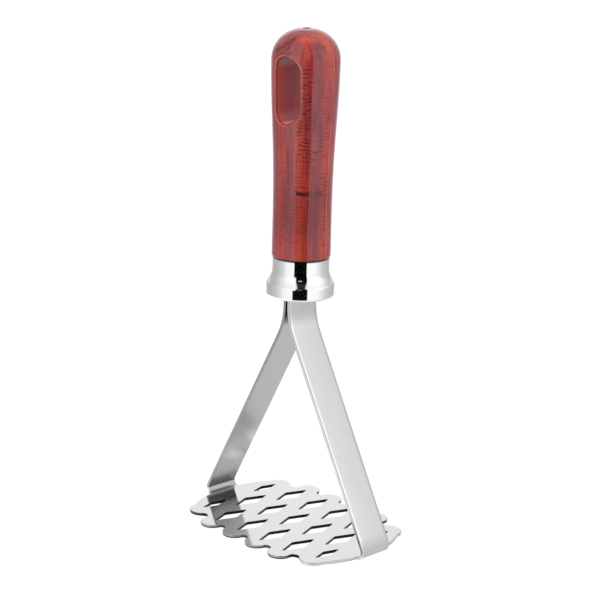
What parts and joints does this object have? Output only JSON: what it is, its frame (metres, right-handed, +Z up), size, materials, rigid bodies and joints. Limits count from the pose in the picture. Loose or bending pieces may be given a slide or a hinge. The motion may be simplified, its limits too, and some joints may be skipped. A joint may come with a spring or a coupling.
{
  "type": "potato masher",
  "caption": "Potato masher: scalloped plate with diamond holes and two legs bent from one steel sheet, bell ferrule and glossy wood-look handle with a hanging slot.",
  "frame": {"origin": "on the underside of the mashing plate, below its middle, where the masher stands", "axes": "+Z up along the handle, X from leg to leg, Y across the plate; the hanging slot runs 9 degrees from Y"},
  "size_m": [0.111, 0.0754, 0.2401],
  "materials": {
    "wood_look_handle": "glossy moulding with a red-brown wood-grain look",
    "chrome": "mirror-bright plating",
    "stainless_sheet": "satin strips and a bright polished plate",
    "insert_plastic": "plain moulding",
    "pin_steel": "plain"
  },
  "bodies": {
    "root": {"mashing_head": "stainless_sheet", "ferrule": "chrome", "handle": "wood_look_handle", "tang_insert": "insert_plastic", "tang_pins": "pin_steel"}
  },
  "joints": []
}
